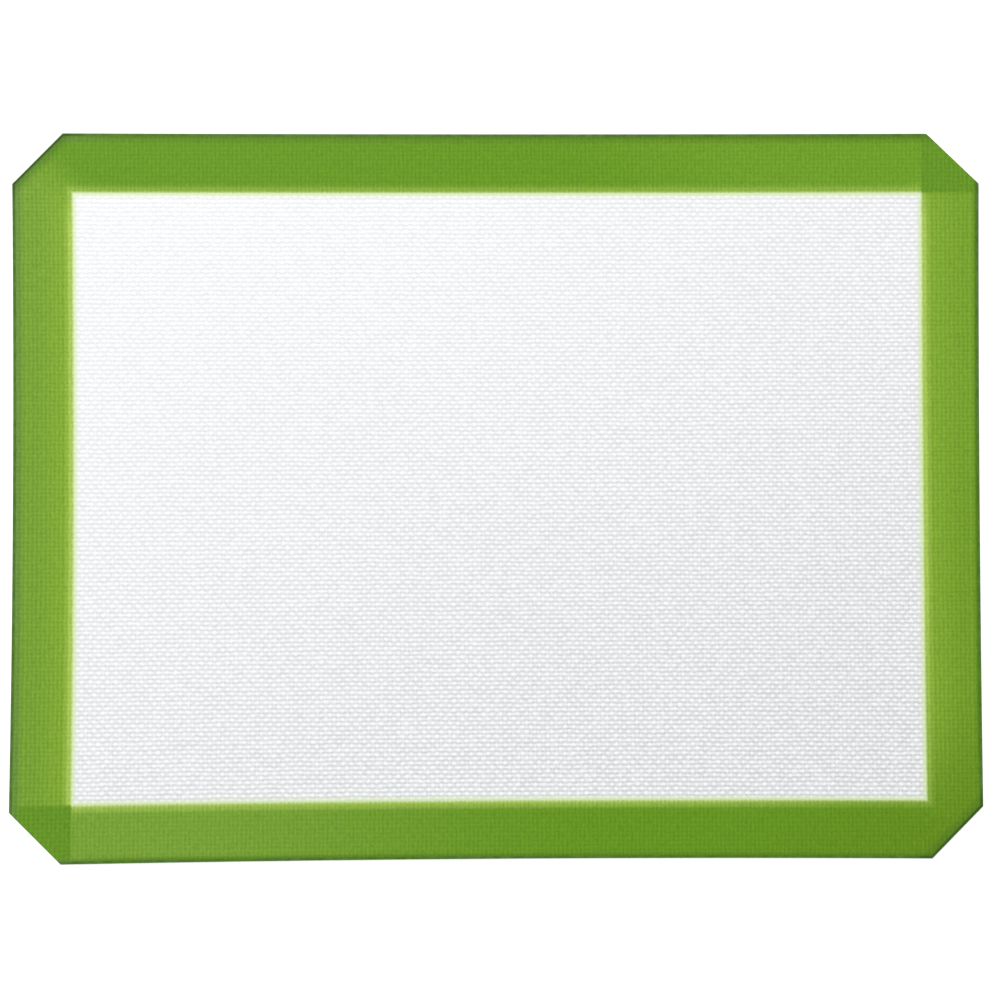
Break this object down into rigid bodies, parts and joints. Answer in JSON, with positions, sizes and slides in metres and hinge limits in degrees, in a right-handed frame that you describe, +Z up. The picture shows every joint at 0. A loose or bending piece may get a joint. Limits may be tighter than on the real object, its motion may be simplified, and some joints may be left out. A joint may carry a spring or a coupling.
{
  "type": "silicone baking mat",
  "caption": "Thin rectangular silicone baking mat with cut corners: a coated glass-cloth sheet with a coloured border on both faces and a sealed edge.",
  "frame": {"origin": "centre of the underside, on the surface that the mat lies on", "axes": "+X along the mat's length, +Y across it towards the edge at the top of the picture, +Z up out of the baking surface"},
  "size_m": [0.4, 0.3, 0.001],
  "materials": {
    "glass_fibre": "satin",
    "white_silicone": "satin",
    "green_silicone": "satin",
    "green_bead": "satin"
  },
  "bodies": {
    "root": {"glass_warp_yarns": "glass_fibre", "glass_weft_yarns": "glass_fibre", "silicone_coat_bottom": "white_silicone", "silicone_coat_top": "white_silicone", "border_face_left_top": "green_silicone", "border_face_right_bottom": "green_silicone", "border_back_left_top": "green_silicone", "border_back_right_bottom": "green_silicone", "edge_bead_left_top": "green_bead", "edge_bead_right_bottom": "green_bead"}
  },
  "joints": []
}
